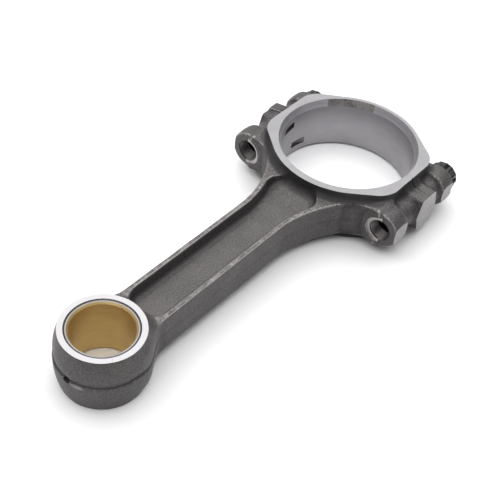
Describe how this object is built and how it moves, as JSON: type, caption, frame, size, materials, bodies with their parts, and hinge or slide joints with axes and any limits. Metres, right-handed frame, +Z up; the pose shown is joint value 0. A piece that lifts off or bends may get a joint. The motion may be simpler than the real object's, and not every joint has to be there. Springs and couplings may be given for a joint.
{
  "type": "connecting rod",
  "caption": "Forged I-beam connecting rod: bushed small end, split big end with a screwed-on cap, locating sleeves and twelve-point cap screws.",
  "frame": {"origin": "centre of the crankpin bore, half-way through the big end's width", "axes": "+Z up the crankpin bore, towards its wide bevel; +X from the small end to the cap, along the rod; +Y to the left"},
  "size_m": [0.1944, 0.0842, 0.0254],
  "materials": {
    "forged_steel": "dark shot-peened forging with bright machined faces",
    "bronze": "honed bronze",
    "black_oxide": "satin black oxide",
    "sleeve_steel": "ground"
  },
  "bodies": {
    "rod": {"rod_body": "forged_steel", "pin_bush": "bronze"},
    "cap": {"rod_cap": "forged_steel", "locating_sleeve_left": "sleeve_steel", "locating_sleeve_right": "sleeve_steel"},
    "screw_left": {"cap_screw_left": "black_oxide"},
    "screw_right": {"cap_screw_right": "black_oxide"}
  },
  "joints": [
    {"name": "cap_lift", "type": "slide", "parent": "rod", "child": "cap", "axis": [1, 0, 0], "range_m": [0, 0.03]},
    {"name": "screw_left_draw", "type": "slide", "parent": "cap", "child": "screw_left", "axis": [1, 0, 0], "range_m": [0, 0.045]},
    {"name": "screw_right_draw", "type": "slide", "parent": "cap", "child": "screw_right", "axis": [1, 0, 0], "range_m": [0, 0.045]}
  ]
}
